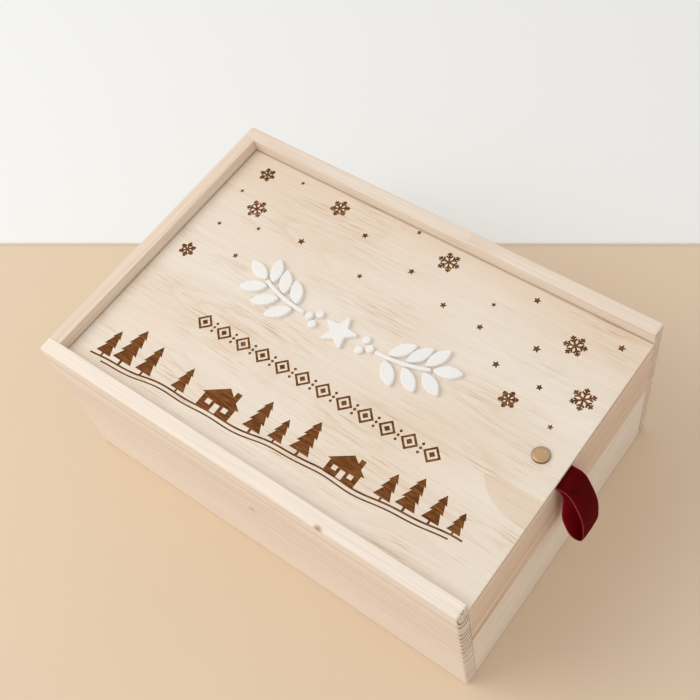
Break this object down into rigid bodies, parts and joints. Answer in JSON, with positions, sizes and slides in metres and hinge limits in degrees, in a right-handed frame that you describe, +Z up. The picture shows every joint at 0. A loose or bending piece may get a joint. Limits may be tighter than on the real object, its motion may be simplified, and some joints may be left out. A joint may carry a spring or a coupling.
{
  "type": "christmas eve box",
  "caption": "Pine keepsake box with a grooved sliding plywood lid, a velvet ribbon loop clamped by a brass stud as its pull, and raised white leaf ornament on the lid.",
  "frame": {"origin": "centre of the base's underside, on the surface that the box stands on", "axes": "+X along the box to the end where the lid slides out and the ribbon hangs, +Y to the back wall, +Z up"},
  "size_m": [0.3715, 0.238, 0.136],
  "materials": {
    "pine": "sanded, unfinished pale pine",
    "plywood": "sanded plywood with a pale face veneer",
    "brad_steel": "bright steel wire",
    "velvet": "deep crimson velvet",
    "antique_brass": "antique brass, brushed",
    "white_acrylic": "matte white acrylic sheet"
  },
  "bodies": {
    "box": {"front_wall_upper": "pine", "front_wall_lower": "pine", "back_wall_upper": "pine", "back_wall_lower": "pine", "left_end_upper": "pine", "left_end_lower": "pine", "right_end_upper": "pine", "right_end_lower": "pine", "base_panel": "plywood", "base_brads": "brad_steel", "corner_brads": "brad_steel"},
    "lid": {"lid_panel": "plywood", "ribbon_pull": "velvet", "stud_cap": "antique_brass", "stud_back": "antique_brass", "center_star": "white_acrylic", "sprig_stems": "white_acrylic", "sprig_leaves": "white_acrylic", "sprig_berries": "white_acrylic"}
  },
  "joints": [
    {"name": "lid_slide", "type": "slide", "parent": "box", "child": "lid", "axis": [1, 0, 0], "range_m": [0, 0.35]}
  ]
}
